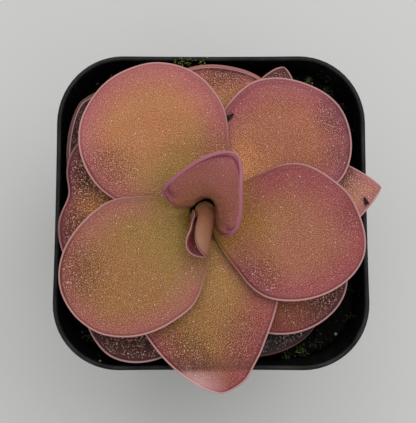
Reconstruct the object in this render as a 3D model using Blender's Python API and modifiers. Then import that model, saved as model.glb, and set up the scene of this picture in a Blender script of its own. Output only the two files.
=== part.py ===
"""Potted butterwort: a square nursery pot of growing medium with one flat rosette of fleshy leaves.

Metres, +Z up. The origin is the centre of the pot's underside, +X is to the right and +Y to the back.
Run with: blender --background --python part.py
"""

import math
from collections import namedtuple

import bmesh
import bpy
from mathutils import Matrix, Vector

# The pot: a tapered square with round corners and a thin lip round its mouth
POT_HEIGHT = 0.064
LIP_HALF = 0.035
LIP_HEIGHT = 0.0042
MOUTH_HALF = 0.0338
WALL = 0.0009
FOOT_HALF = 0.0255
FLOOR = 0.0014
CORNER_RADIUS = 0.0145
CORNER_STEPS = 7
DRAIN_RADIUS = 0.0030
DRAIN_OFFSET = 0.0145
DRAIN_SIDES = 20

# Clearance between neighbouring pieces, how far a cutter runs past what it cuts, and the shading
GAP = 0.0003
OVERCUT = 0.002
WELD = 0.00001
SMOOTH_ANGLE = 50.0

# The growing medium, filled to a little below the lip
SOIL_TOP = 0.0562
SOIL_RELIEF = 0.0006
SOIL_CELLS = 16

# The crown: the short stem that every leaf grows from, tapering below into the root plug
PLANT_AXIS = (-0.0014, 0.0)
CROWN_TOP = 0.0682
CROWN_RADIUS = 0.0022
CROWN_NECK = 0.0028
CROWN_DOME = 0.0012
DOME_STEPS = 4
NECK_DEPTH = 0.0018
ROOT_DEPTH = 0.019
ROOT_TIP_RADIUS = 0.0008
CROWN_SIDES = 24

# Leaves follow each other round the crown by the golden angle, each a step lower than the last
GOLDEN_ANGLE = 137.5
YOUNG_LEAF_AZIMUTH = 69.0
FIRST_SEAT = 0.0678
SEAT_STEP = 0.00066
BASE_REACH = 0.0031
ROLLED_LEAF_REACH = 0.0022
THIN_LEAVES = 2
BRIGHT_LEAVES = 7
BASE_HALF_WIDTH = 0.0021
BLADE = 0.0009
THIN_BLADE = 0.0007
TIGHTEST_ROLL = 0.0017
MARGIN_LIFT = 0.00035
MARGIN_BAND = 0.0010
MARGIN_STARTS = 0.20
WRAP_ENDS = 0.25
WRAP_LIMIT = 0.95
RISE_STEPS = 48
ROWS_TO_BROADEST = 6
ROWS_TO_TIP = 6
COLUMNS = 10

# Order 0 is the newest leaf, still rolled. Lengths and widths are in metres and angles in degrees.
# nudge: turn from the golden-angle place. broadest: share of the length where the blade is widest.
# waist: more draws the base in. tip: 1 is a round end, more is pointed, less is square.
# rise and fall: slope at the base and the tip.
# bend: how early the slope changes. cup: how far each side turns up, at the base and at the tip.
# turn: roll about the midrib. sweep: sideways bend towards the left.
Leaf = namedtuple(
    "Leaf", "name nudge length width broadest waist tip rise fall bend cup_base cup_tip turn sweep"
)
LEAVES = (
    Leaf("leaf_00_rolled", -16, 0.0110, 0.0130, 0.45, 0.75, 0.9, 84, -48, 1.0, 140, 130, 50, 0),
    Leaf("leaf_01_young", -4.6, 0.0168, 0.0255, 0.43, 0.58, 1.18, 87, 25, 0.8, 78, 86, -4, -5.5),
    Leaf("leaf_02_front_left", 13, 0.0338, 0.0294, 0.43, 0.86, 0.9, 40, -9, 0.42, 12, -8, 0, -2.4),
    Leaf("leaf_03_right", 1.7, 0.0337, 0.0300, 0.48, 1.0, 1.1, 42, -9, 0.42, 12, -8, 0, -1.8),
    Leaf("leaf_04_back_left", 3, 0.0334, 0.0330, 0.51, 0.62, 0.93, 38, -8, 0.42, 12, -8, 0, -0.7),
    Leaf("leaf_05_front", 8.8, 0.0374, 0.0330, 0.38, 0.8, 1.32, 34, -8, 0.42, 12, -8, 0, 7.9),
    Leaf("leaf_06_back_right", 7, 0.0353, 0.0294, 0.65, 0.68, 1.12, 30, -6, 0.42, 12, -8, 0, -5),
    Leaf("leaf_07_left", 2, 0.0295, 0.0320, 0.62, 1.0, 0.72, 25, -2, 0.42, 8, -4, 0, 0),
    Leaf("leaf_08_front_right", 4.5, 0.0332, 0.0262, 0.59, 1.0, 1.0, 24, -3, 0.42, 8, -6, 0, 9),
    Leaf("leaf_09_back", -0.5, 0.0303, 0.0278, 0.66, 1.0, 0.93, 16, 2, 0.42, 8, 4, 0, -8),
    Leaf("leaf_10_front_left_low", 5.7, 0.0351, 0.0274, 0.6, 1.0, 1.13, 12, 4, 0.42, 8, 4, 0, 4.3),
    Leaf("leaf_11_right_low", 2.2, 0.0368, 0.0230, 0.56, 1.0, 1.6, 6, 8, 0.42, 6, 2, 0, 1.6),
    Leaf("leaf_12_back_left_low", -3, 0.0345, 0.0320, 0.62, 1.0, 1.35, 8, 8, 0.42, 8, 4, 0, 0),
    Leaf("leaf_13_front_right_low", 12, 0.0329, 0.0275, 0.69, 1.0, 1.12, 5, 3, 0.42, 8, 4, 0, 17),
    Leaf("leaf_14_back_low", -4.7, 0.0349, 0.0175, 0.49, 1.0, 1.27, 6, 7, 0.42, 8, 4, 0, 9.7),
    Leaf("leaf_15_left_low", 4, 0.0285, 0.0220, 0.62, 1.0, 1.00, 5, 4, 0.42, 8, 4, 0, 0),
    Leaf("leaf_16_right_lowest", 46, 0.0310, 0.0195, 0.62, 1.0, 1.00, 3, 3, 0.42, 8, 4, 0, 0),
)

# Colours, roughness
POT_BLACK = (0.012, 0.012, 0.013, 1.0)
SOIL_DARK = (0.020, 0.014, 0.010, 1.0)
CROWN_GREEN = (0.36, 0.33, 0.12, 1.0)
LEAF_PINK = (0.50, 0.22, 0.17, 1.0)
LEAF_SHADED = (0.34, 0.15, 0.13, 1.0)


def clear_scene():
    for obj in list(bpy.data.objects):
        bpy.data.objects.remove(obj, do_unlink=True)


def new_collection(name, hidden=False):
    made = bpy.data.collections.new(name)
    made.hide_render = hidden
    bpy.context.scene.collection.children.link(made)
    return made


def new_object(name, bm, collection, material=None):
    mesh = bpy.data.meshes.new(name)
    bm.to_mesh(mesh)
    bm.free()
    obj = bpy.data.objects.new(name, mesh)
    collection.objects.link(obj)
    if material:
        mesh.materials.append(material)
    return obj


def hide_as_cutter(obj):
    obj.hide_render = True
    obj.display_type = "WIRE"


def material(name, colour, roughness):
    made = bpy.data.materials.new(name)
    made.use_nodes = True
    shader = made.node_tree.nodes["Principled BSDF"]
    shader.inputs["Base Color"].default_value = colour
    shader.inputs["Roughness"].default_value = roughness
    shader.inputs["Metallic"].default_value = 0.0
    return made


def cut(obj, cutter, operation="DIFFERENCE"):
    modifier = obj.modifiers.new(operation.title() + "_" + cutter.name, "BOOLEAN")
    modifier.operation = operation
    modifier.solver = "EXACT"
    modifier.object = cutter


def pot_half(z):
    """Outside half width of the tapered wall at a height."""
    top = MOUTH_HALF + WALL
    return FOOT_HALF + (top - FOOT_HALF) * z / POT_HEIGHT


def rounded_frustum(name, low, high, collection):
    """A block with round upright corners. low and high are (height, half width, corner radius)."""
    bm = bmesh.new()
    bmesh.ops.create_cube(bm, size=2.0)
    for vert in bm.verts:
        height, half, _ = high if vert.co.z > 0 else low
        vert.co = (vert.co.x * half, vert.co.y * half, height)
    uprights = [e for e in bm.edges if abs(e.verts[0].co.z - e.verts[1].co.z) > GAP]
    bmesh.ops.bevel(
        bm, geom=uprights, offset=high[2], segments=CORNER_STEPS, profile=0.5, affect="EDGES"
    )
    return new_object(name, bm, collection)


def make_pot(parts, cutters):
    corner_in = CORNER_RADIUS - (LIP_HALF - MOUTH_HALF)
    pot = rounded_frustum(
        "pot",
        (0.0, FOOT_HALF, corner_in + WALL),
        (POT_HEIGHT - GAP, pot_half(POT_HEIGHT - GAP), corner_in + WALL),
        parts,
    )
    lip = rounded_frustum(
        "lip_ring",
        (POT_HEIGHT - LIP_HEIGHT, LIP_HALF - GAP, CORNER_RADIUS),
        (POT_HEIGHT, LIP_HALF, CORNER_RADIUS),
        cutters,
    )
    slope = (pot_half(POT_HEIGHT) - FOOT_HALF) / POT_HEIGHT
    cavity = rounded_frustum(
        "cavity",
        (FLOOR, pot_half(FLOOR) - WALL, corner_in),
        (POT_HEIGHT + OVERCUT, MOUTH_HALF + slope * OVERCUT, corner_in),
        cutters,
    )
    hide_as_cutter(lip)
    hide_as_cutter(cavity)
    cut(pot, lip, "UNION")
    cut(pot, cavity)
    for i in range(4):
        angle = math.radians(45 + 90 * i)
        centre = Vector((math.cos(angle), math.sin(angle), 0)) * DRAIN_OFFSET * math.sqrt(2)
        bm = bmesh.new()
        bmesh.ops.create_cone(
            bm,
            cap_ends=True,
            segments=DRAIN_SIDES,
            radius1=DRAIN_RADIUS,
            radius2=DRAIN_RADIUS,
            depth=2 * (FLOOR + OVERCUT),
            matrix=Matrix.Translation(centre),
        )
        drain = new_object(f"drain_{i}", bm, cutters)
        hide_as_cutter(drain)
        cut(pot, drain)
    pot.data.materials.append(material("pot_plastic", POT_BLACK, 0.42))
    return pot


def soil_relief(x, y):
    """Low lumps in the surface of the growing medium."""
    waves = math.sin(430 * x + 1.1) * math.cos(390 * y - 0.6)
    ripples = math.sin(1050 * x - 640 * y) * math.cos(820 * y + 300 * x)
    return SOIL_RELIEF * (0.6 * waves + 0.4 * ripples)


def round_square(u, v, half, corner):
    """A point of the square [-1, 1] moved onto a square of this half width with round corners."""
    reach = max(abs(u), abs(v))
    if reach == 0:
        return 0.0, 0.0
    x, y = u / reach * half, v / reach * half
    flat = half - corner
    ax, ay = abs(x), abs(y)
    if ax > flat and ay > flat:
        over = Vector((ax - flat, ay - flat)).normalized() * corner
        x, y = math.copysign(flat + over.x, x), math.copysign(flat + over.y, y)
    return x * reach, y * reach


def make_soil(parts, cutters):
    corner = CORNER_RADIUS - (LIP_HALF - MOUTH_HALF)
    top_half = pot_half(SOIL_TOP) - WALL - GAP - SOIL_RELIEF
    floor_z = FLOOR + GAP
    floor_half = pot_half(floor_z) - WALL - GAP
    bm = bmesh.new()
    bmesh.ops.create_grid(bm, x_segments=SOIL_CELLS, y_segments=SOIL_CELLS, size=1.0)
    bmesh.ops.triangulate(bm, faces=bm.faces)
    made = bmesh.ops.extrude_face_region(bm, geom=list(bm.faces), use_keep_orig=True)
    underside = [g for g in made["geom"] if isinstance(g, bmesh.types.BMFace)]
    low = {g for g in made["geom"] if isinstance(g, bmesh.types.BMVert)}
    for vert in bm.verts:
        half = floor_half if vert in low else top_half
        x, y = round_square(vert.co.x, vert.co.y, half, corner)
        vert.co = (x, y, floor_z if vert in low else SOIL_TOP + soil_relief(x, y))
    bmesh.ops.dissolve_faces(bm, faces=underside, use_verts=True)
    bmesh.ops.recalc_face_normals(bm, faces=bm.faces)
    soil = new_object("growing_medium", bm, parts, material("growing_medium", SOIL_DARK, 0.95))
    hole = turned("root_hole", crown_profile(GAP, SOIL_TOP + OVERCUT), cutters)
    hide_as_cutter(hole)
    cut(soil, hole)
    return soil


def crown_profile(margin, top):
    """The crown and root plug as (radius, height) points from the top down, grown by a margin."""
    points = []
    for i in range(DOME_STEPS + 1):
        angle = math.pi / 2 * i / DOME_STEPS
        radius = (CROWN_RADIUS + margin) * math.sin(angle)
        points.append((radius, top - CROWN_DOME * (1 - math.cos(angle))))
    points.append((CROWN_NECK + margin, SOIL_TOP + SOIL_RELIEF))
    points.append((CROWN_NECK + margin, SOIL_TOP - NECK_DEPTH))
    points.append((ROOT_TIP_RADIUS + margin, SOIL_TOP - ROOT_DEPTH - margin))
    return points


def turned(name, profile, collection):
    """A turned solid on the plant's axis: the profile runs from the axis down the outside."""
    bm = bmesh.new()
    line = profile + [(0.0, profile[-1][1])]
    verts = [bm.verts.new((radius, 0, height)) for radius, height in line]
    for a, b in zip(verts, verts[1:]):
        bm.edges.new((a, b))
    obj = new_object(name, bm, collection)
    screw = obj.modifiers.new("Turn", "SCREW")
    screw.steps = CROWN_SIDES
    screw.render_steps = CROWN_SIDES
    screw.use_merge_vertices = True
    screw.merge_threshold = WELD
    obj.location = (*PLANT_AXIS, 0)
    return obj


def make_crown(parts):
    crown = turned("crown_and_root", crown_profile(0, CROWN_TOP), parts)
    crown.data.materials.append(material("crown", CROWN_GREEN, 0.6))
    return crown


def midrib(leaf):
    """Points (reach, height, slope) along the midrib, from its base outwards."""
    rise, fall = math.radians(leaf.rise), math.radians(leaf.fall)
    step = leaf.length / RISE_STEPS
    reach, height = 0.0, 0.0
    points = [(reach, height, rise)]
    for i in range(RISE_STEPS):
        slope = rise + (fall - rise) * ((i + 0.5) / RISE_STEPS) ** leaf.bend
        reach += step * math.cos(slope)
        height += step * math.sin(slope)
        end = rise + (fall - rise) * ((i + 1) / RISE_STEPS) ** leaf.bend
        points.append((reach, height, end))
    return points


def along(points, share):
    """The midrib at a share of its length."""
    place = min(max(share, 0.0), 1.0) * RISE_STEPS
    i = min(int(place), RISE_STEPS - 1)
    f = place - i
    return [a + (b - a) * f for a, b in zip(points[i], points[i + 1])]


def blade_place(leaf, row, column):
    """Share of the length, half width, share of that, and nearness to the margin, of a grid place.

    row runs from 0 at the base through 1 at the broadest place to 2 at the tip, column from -1 to 1.
    """
    half = leaf.width / 2
    across = math.sin(math.pi / 2 * column)
    if row <= 1:
        share = leaf.broadest * row
        width = BASE_HALF_WIDTH + (half - BASE_HALF_WIDTH) * math.sin(math.pi / 2 * row) ** leaf.waist
        return share, width, across, abs(across)
    turn = math.pi / 2 * (row - 1)
    out, side = math.sin(turn) ** leaf.tip, max(math.cos(turn), 0.0) ** leaf.tip
    share = leaf.broadest + (1 - leaf.broadest) * out
    near = math.hypot(math.sin(turn), math.cos(turn) * across)
    return share, half * side, across, near


def leaf_point(leaf, points, seat, azimuth, reach, row, column):
    """Where a grid place of the blade's upper face lies."""
    share, width, across, near = blade_place(leaf, row, column)
    out, up, slope = along(points, share)
    cup = math.radians(leaf.cup_base + (leaf.cup_tip - leaf.cup_base) * share)
    limit = max(width, 1e-6) / TIGHTEST_ROLL
    cup = math.copysign(min(max(abs(cup), 1e-4), limit), cup)
    side = width / cup * math.sin(cup * across)
    lift = width / cup * (1 - math.cos(cup * across))
    inset = (1 - near) * leaf.width / 2
    lift += MARGIN_LIFT * math.exp(-((inset / MARGIN_BAND) ** 2)) * min(1.0, share / MARGIN_STARTS)
    side, lift = Matrix.Rotation(math.radians(leaf.turn), 2) @ Vector((side, lift))
    place = Vector((out - lift * math.sin(slope), side, up + lift * math.cos(slope)))
    wrap = max(0.0, 1 - share / WRAP_ENDS)
    around = min(abs(side), WRAP_LIMIT * reach)
    place.x += reach - wrap * (reach - math.sqrt(reach**2 - around**2))
    swing = math.radians(azimuth + leaf.sweep * share**2)
    return Matrix.Rotation(swing, 3, "Z") @ place + Vector((*PLANT_AXIS, seat))


def leaf_azimuth(order):
    return YOUNG_LEAF_AZIMUTH + (order - 1) * GOLDEN_ANGLE + LEAVES[order].nudge


def leaf_seat(order):
    """Height of the leaf's base on the crown, and its distance from the crown's axis."""
    if order == 0:
        return CROWN_TOP + GAP, ROLLED_LEAF_REACH
    return FIRST_SEAT - SEAT_STEP * (order - 1), BASE_REACH


def make_leaf(order, parts, skin):
    leaf = LEAVES[order]
    points = midrib(leaf)
    azimuth = leaf_azimuth(order)
    seat, reach = leaf_seat(order)
    rows = ROWS_TO_BROADEST + ROWS_TO_TIP
    bm = bmesh.new()
    bmesh.ops.create_grid(bm, x_segments=rows, y_segments=COLUMNS, size=1.0)
    for vert in bm.verts:
        row = vert.co.x + 1
        vert.co = leaf_point(leaf, points, seat, azimuth, reach, row, vert.co.y)
    bmesh.ops.remove_doubles(bm, verts=bm.verts, dist=WELD)
    bmesh.ops.triangulate(bm, faces=bm.faces)
    obj = new_object(leaf.name, bm, parts, skin)
    solid = obj.modifiers.new("Blade", "SOLIDIFY")
    solid.thickness = THIN_BLADE if order < THIN_LEAVES else BLADE
    solid.offset = -1
    obj.data.shade_smooth()
    obj.data.set_sharp_from_angle(angle=math.radians(SMOOTH_ANGLE))
    return obj


def main():
    clear_scene()
    parts = new_collection("potted_butterwort")
    cutters = new_collection("cutters", hidden=True)
    make_pot(parts, cutters)
    make_soil(parts, cutters)
    make_crown(parts)
    skin = material("leaf_skin", LEAF_PINK, 0.45)
    shaded = material("leaf_skin_shaded", LEAF_SHADED, 0.5)
    for order in range(len(LEAVES)):
        make_leaf(order, parts, skin if order < BRIGHT_LEAVES else shaded)


main()
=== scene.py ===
"""The looks of a potted butterwort: fleshy leaves covered in glands, in a black nursery pot.

The leaves follow the same formula as their solids, with rounded and curled margins, and carry their glands as
small beads. Metres, in the frame of the solids.
"""

import math
from collections import namedtuple

import bmesh
import bpy
import numpy as np
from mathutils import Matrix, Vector, noise
from mathutils.bvhtree import BVHTree


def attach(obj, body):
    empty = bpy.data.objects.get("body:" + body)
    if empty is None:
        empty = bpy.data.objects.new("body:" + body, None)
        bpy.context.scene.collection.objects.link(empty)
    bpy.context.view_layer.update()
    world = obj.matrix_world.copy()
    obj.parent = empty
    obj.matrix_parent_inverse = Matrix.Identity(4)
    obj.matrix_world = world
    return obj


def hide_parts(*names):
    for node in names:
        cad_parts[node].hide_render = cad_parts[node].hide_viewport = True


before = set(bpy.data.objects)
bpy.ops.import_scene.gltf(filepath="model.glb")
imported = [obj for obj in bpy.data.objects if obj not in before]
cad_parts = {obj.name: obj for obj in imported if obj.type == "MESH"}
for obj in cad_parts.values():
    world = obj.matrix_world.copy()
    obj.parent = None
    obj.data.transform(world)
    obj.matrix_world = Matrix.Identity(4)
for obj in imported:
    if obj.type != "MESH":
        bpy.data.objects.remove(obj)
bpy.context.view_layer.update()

# The blades' shape, as in their solids
PLANT_AXIS = np.array([-0.0014, 0.0])
CROWN_TOP = 0.0682
GAP = 0.0003
GOLDEN_ANGLE = 137.5
YOUNG_LEAF_AZIMUTH = 69.0
FIRST_SEAT = 0.0678
SEAT_STEP = 0.00066
BASE_REACH = 0.0031
YOUNG_LEAF_REACH = 0.0028
ROLLED_LEAF_REACH = 0.0042
THIN_LEAVES = 2
BASE_HALF_WIDTH = 0.0021
ROLLED_BASE_HALF_WIDTH = 0.0074
ROLL_RADIUS = 0.00319
ROLLED_ASIDE = -0.0009
BLADE = 0.0009
THIN_BLADE = 0.0007
TIGHTEST_ROLL = 0.0017
MARGIN_LIFT = 0.00035
MARGIN_BAND = 0.0010
MARGIN_STARTS = 0.20
WRAP_ENDS = 0.25
WRAP_LIMIT = 0.95
RISE_STEPS = 48

# The camera, straight above the front of the plant and looking a little to its back
CAMERA_PLACE = (-0.00068, -0.0188, 0.2841)
CAMERA_TILT = 4.93
CAMERA_LENS = 84.13
SENSOR = 36.0

# Order 0 is the newest leaf, still rolled. Lengths and widths are in metres and angles in degrees.
# nudge: turn from the golden-angle place. broadest: share of the length where the blade is widest.
# waist: more draws the base in. tip: 1 is a round end, more is pointed, less is square.
# rise and fall: slope at the base and the tip.
# bend: how early the slope changes. cup: how far each side turns up, at the base and at the tip.
# turn: roll about the midrib. sweep: sideways bend towards the left.
Leaf = namedtuple(
    "Leaf", "name nudge length width broadest waist tip rise fall bend cup_base cup_tip turn sweep"
)
LEAVES = (
    Leaf("leaf_00_rolled", -34.1, 0.0082, 0.0096, 0.30, 0.50, 0.64, 77.8, 0.2, 0.84, 175.5, 161, 54.3, 2.2),
    Leaf("leaf_01_young", -4.6, 0.0171, 0.0252, 0.43, 0.58, 1.38, 87, 25, 0.8, 78, 86, -4, -5.5),
    Leaf("leaf_02_front_left", 13, 0.0338, 0.0294, 0.43, 0.86, 0.9, 40, -9, 0.42, 12, -8, 0, -2.4),
    Leaf("leaf_03_right", 1.7, 0.0337, 0.0300, 0.48, 1.0, 1.1, 42, -9, 0.42, 12, -8, 0, -1.8),
    Leaf("leaf_04_back_left", 3, 0.0334, 0.0330, 0.51, 0.62, 0.93, 38, -8, 0.42, 12, -8, 0, -0.7),
    Leaf("leaf_05_front", 8.8, 0.0374, 0.0330, 0.38, 0.8, 1.32, 34, -8, 0.42, 12, -8, 0, 7.9),
    Leaf("leaf_06_back_right", 7, 0.0353, 0.0294, 0.65, 0.68, 1.12, 30, -6, 0.42, 12, -8, 0, -5),
    Leaf("leaf_07_left", 2, 0.0295, 0.0320, 0.62, 1.0, 0.72, 25, -2, 0.42, 8, -4, 0, 0),
    Leaf("leaf_08_front_right", 4.5, 0.0332, 0.0262, 0.59, 1.0, 1.0, 24, -3, 0.42, 8, -6, 0, 9),
    Leaf("leaf_09_back", -0.5, 0.0303, 0.0278, 0.66, 1.0, 0.93, 16, 2, 0.42, 8, 4, 0, -8),
    Leaf("leaf_10_front_left_low", 5.7, 0.0351, 0.0274, 0.6, 1.0, 1.13, 12, 4, 0.42, 8, 4, 0, 4.3),
    Leaf("leaf_11_right_low", 2.2, 0.0368, 0.0230, 0.56, 1.0, 1.6, 6, 8, 0.42, 6, 2, 0, 1.6),
    Leaf("leaf_12_back_left_low", -3, 0.0345, 0.0320, 0.62, 1.0, 1.35, 8, 8, 0.42, 8, 4, 0, 0),
    Leaf("leaf_13_front_right_low", 12, 0.0329, 0.0275, 0.69, 1.0, 1.12, 5, 3, 0.42, 8, 4, 0, 17),
    Leaf("leaf_14_back_low", -4.7, 0.0349, 0.0175, 0.49, 1.0, 1.27, 6, 7, 0.42, 8, 4, 0, 9.7),
    Leaf("leaf_15_left_low", 4, 0.0285, 0.0220, 0.62, 1.0, 1.00, 5, 4, 0.42, 8, 4, 0, 0),
    Leaf("leaf_16_right_lowest", 46, 0.0310, 0.0195, 0.62, 1.0, 1.00, 3, 3, 0.42, 8, 4, 0, 0),
)

# Where an outline swells or draws in on one side: order, side, share of the length, reach of it, how far
BULGES = (
    (1, 1, 0.62, 0.20, -0.0007),
    (1, -1, 0.75, 0.22, -0.0008),
    (5, 1, 0.80, 0.10, 0.0004),
    (5, 1, 0.93, 0.07, 0.0012),
    (3, 1, 0.80, 0.10, 0.0005),
)
# Where a leaf is cupped more or less on one side: order, side, how much more, and the shares it runs between
CUPS = ((0, -1, -0.43, 0.41, 0.90), (1, -1, 0.14, 0.60, 0.20))
# Where the far edge of a leaf draws back: order, share of the half width, reach of it, share of the length
DENTS = ((7, -0.22, 0.50, 0.072),)


def tone(red, green, blue, light=1.0):
    """A colour given as it shows on screen, from 0 to 255, as linear light times a brightness."""
    shown = [value / 255 for value in (red, green, blue)]
    return tuple(light * (v / 12.92 if v <= 0.04045 else ((v + 0.055) / 1.055) ** 2.4) for v in shown)


def warm(colour, light):
    """A leaf's colour, made up for the pale sheen that its skin adds."""
    return tuple(a * b for a, b in zip(tone(*colour, light), WARMTH))


# Colours are as they show on screen, from 0 to 255
OLIVE = (158, 132, 66)
TAN = (176, 127, 86)
ROSE = (172, 104, 108)
MAUVE = (150, 88, 100)
RUSSET = (142, 78, 62)
MAROON = (116, 56, 52)
# The margin's crest, its own paler tone with a painted highlight
RIM = (200, 150, 154)
BACK = (176, 150, 110)
MARGIN_BACK = (150, 84, 92)
# Painted shade in the groove and the curl inside the margin
MARGIN_GROOVE = (134, 66, 88)
# Painted light and painted shade on the front leaf's tip
TIP_LIT = (240, 192, 190)
TIP_BRINK = (92, 52, 40)
# A glint painted on the brightest glands
BEAD_GLINT = (246, 218, 208)

# How many times brighter a leaf's colours are given than they show
WARMTH = (1.25, 1.24, 1.15)

# heart: colour by the crown. flesh: colour of the middle. rose: colour towards the margin.
# stain: colour of dusky patches, the leaf's dark red pigment with painted shade.
# reach: how far the rose runs in from the margin.
# lean: more of it on the leaf's left, seen from the crown. pink: how strong it is.
# grain: how coarse the skin looks. curl: how far the margin turns up, in degrees. spacing: between glands.
# dusky: dark patches, partly the leaf's own red pigment and partly painted shade where a leaf lies in shade,
# each (share of the length, share of the half width, radius, strength). Some glands in them are painted as
# glints.
# light: how bright the leaf's colours are painted, more where a leaf stands steeply or lies in shade:
# painted light.
# back: colour of the underside. rim: colour of the margin's crest, its own paler tone with a painted
# highlight.
# groove: how strongly the painted shade in the groove inside the margin shows.
# dulled: how far dusky patches darken the margin too, with their pigment and painted shade.
Look = namedtuple(
    "Look",
    "heart flesh rose stain reach lean pink grain curl curl_radius spacing dusky light back rim groove"
    " dulled",
    defaults=(
        OLIVE, TAN, ROSE, MAROON, 0.008, 0.0, 0.9, 1.0, 55, 0.0005, 0.00036, (), 0.80, BACK, RIM, 0.15, 0.0,
    ),
)
LOOKS = (
    Look(heart=(120, 92, 55), flesh=(104, 44, 40), rose=(132, 58, 60), reach=0.002, pink=0.6,
         grain=0.2, curl=25, curl_radius=0.0004, spacing=0.0003, light=0.84, back=(141, 102, 68)),
    Look(heart=(166, 112, 88), flesh=(170, 108, 104), rose=(172, 104, 120), stain=MAUVE, reach=0.005,
         pink=0.8, grain=0.35, curl=110, curl_radius=0.00018, spacing=0.0003, light=0.88, rim=(178, 124, 134),
         back=(148, 92, 98), groove=0.9),
    Look(heart=(154, 130, 56), flesh=(160, 118, 70), rose=(166, 106, 98), stain=(96, 46, 40), reach=0.0085,
         grain=0.8, curl=48, spacing=0.00034, dusky=((0.84, -0.50, 0.011, 0.38),)),
    Look(heart=(168, 132, 58), flesh=(168, 112, 90), rose=(160, 86, 90), stain=(106, 30, 18), reach=0.011,
         lean=0.2, pink=1.0, grain=0.9, curl=48, spacing=0.00034, groove=0.2,
         dusky=((0.35, -0.80, 0.0085, 0.42), (0.85, 0.5, 0.006, 0.2))),
    Look(flesh=(184, 130, 88), rose=(178, 108, 112), stain=(120, 50, 28), reach=0.0095, lean=-0.1, grain=0.7,
         curl=48, spacing=0.00034, dusky=((0.50, 0.80, 0.010, 0.40), (0.3, -0.6, 0.006, 0.15))),
    Look(heart=(186, 154, 92), flesh=(160, 120, 66), rose=(160, 86, 88), stain=(84, 38, 22), reach=0.0110,
         lean=0.45, spacing=0.00034,
         dusky=((0.55, -0.8, 0.011, 0.5), (0.78, -0.30, 0.009, 0.5), (0.72, 0.5, 0.010, 0.25))),
    Look(heart=(220, 168, 112), flesh=(174, 114, 88), rose=(168, 96, 106), stain=(96, 42, 54), reach=0.010,
         lean=-0.1, groove=0.5, curl=44, spacing=0.00034,
         dusky=((0.97, -0.20, 0.008, 0.6), (0.84, -0.75, 0.008, 0.45))),
    Look(flesh=(196, 140, 86), rose=(150, 78, 70), stain=(84, 30, 32), groove=0.4, dulled=0.8,
         dusky=((0.84, -0.40, 0.012, 0.9), (0.90, 0.35, 0.009, 0.7))),
    Look(flesh=(164, 100, 70), rose=(128, 60, 50), stain=(50, 20, 16), dusky=((0.96, 0.3, 0.015, 0.8),)),
    Look(heart=(196, 152, 84), flesh=(196, 142, 102), rose=(180, 112, 112), stain=(80, 38, 36), curl=160,
         curl_radius=0.0004, dusky=((1.0, 0.0, 0.008, 0.65),)),
    Look(flesh=(134, 72, 60), rose=(128, 66, 58), stain=(50, 20, 16), dusky=((0.8, 0.0, 0.040, 0.85),)),
    Look(heart=TAN, flesh=(184, 138, 114), rose=(184, 126, 124), stain=(96, 52, 52), reach=0.006, lean=0.3,
         grain=0.6, light=0.84, dusky=((0.72, 0.5, 0.008, 0.8),)),
    Look(flesh=(130, 86, 72), rose=(112, 70, 72), stain=(52, 30, 32), curl=150, curl_radius=0.00045,
         dusky=((0.8, 0.0, 0.030, 0.7),)),
    # Painted shade: this leaf lies deep under the others, so its colours and patch are painted dark
    Look(flesh=(68, 42, 38), rose=(58, 36, 34), stain=(18, 10, 10), rim=(104, 62, 60),
         dusky=((0.8, 0.0, 0.040, 0.9),)),
    Look(flesh=(160, 110, 98), rose=(148, 96, 96), stain=(70, 38, 38), dusky=((0.9, 0.0, 0.014, 0.7),)),
    Look(flesh=(120, 80, 62), rose=(112, 64, 66)),
    Look(flesh=(96, 60, 56), rose=(88, 50, 54)),
)

# How finely a blade is meshed. A blade is closed rings, from its middle over its margin to its underside.
AROUND = 132
OUTLINE_STEPS = 320
CURVE_STEPS = 200
AT_ONCE = 2000
EDGE_INSETS = (0.00035, 0.00085, 0.0015, 0.0024)
EDGE_SHARES = (0.38, 0.46, 0.54, 0.62)
TOP_RINGS = 11
UNDER_RINGS = 7
INNERMOST = 0.4
CURL_STEPS = 6
CAP_STEPS = 4
FOOT_CURL = 10
CURL_FADES = (0.05, 0.26)
MARGIN_THINS = 0.42
EDGE_ROOM = 0.30
SPINE_INSET = 0.0012
OFFSET_PASSES = 12
OFFSET_BEND = 0.00005
ROOM_PASSES = 6
ROOM_BEND = 0.0002
NUDGE = 0.00005
RIPPLE = 0.00007
RIPPLE_LENGTHS = (0.0151, 0.0117, 0.0089, 0.0071)
RIPPLE_STARTS = (0.12, 0.4)
GROOVE_INSET = 0.00125
GROOVE_WIDTH = 0.0004

# Glands stand this far in from the margin, and only where they can be seen from somewhere above
GLAND_INSET = 0.00035
GLAND_FROM_SHARE = 0.10
GLAND_RADIUS = 0.48
GLAND_JITTER = 0.30
GLAND_SIZES = (0.75, 1.15)
# Share of glands painted as bright glints
SPARKLING = 0.004
SKY_TILT = 50.0
SKY_TURNS = 5
SKY_FIRST = 0.3
SKY_GRAZES = 0.05
START_OFF = 0.0002

# What random draws start from: blades and glands, crumbs, moss, fibres, pale grains, gnats
SEED = 17
CRUMB_SEED = SEED + 500
MOSS_SEED = SEED + 900
FIBRE_SEED = SEED + 950
GRAIN_SEED = SEED + 970
GNAT_SEED = SEED + 990

# A gland's corners, as first and second way aside and height, in its radius
GLAND_CORNERS = ((1, 0, 0.16), (0, 1, 0.16), (-1, 0, 0.16), (0, -1, 0.16), (0, 0, 0.80), (0, 0, -0.5))

# The stretch, in metres, that a map of the view from above spans
MAP_SPAN = 0.08

UP = Vector((0, 0, 1))


def smooth(low, high, x):
    """0 below low and 1 above high, with a soft run between them. Low may be above high."""
    t = np.clip((x - low) / (high - low), 0, 1)
    return t * t * (3 - 2 * t)


def unit(vectors):
    return vectors / np.maximum(np.linalg.norm(vectors, axis=-1, keepdims=True), 1e-12)


def put(name, data):
    """A new object with that data, in the scene."""
    thing = bpy.data.objects.new(name, data)
    bpy.context.scene.collection.objects.link(thing)
    return thing


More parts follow.
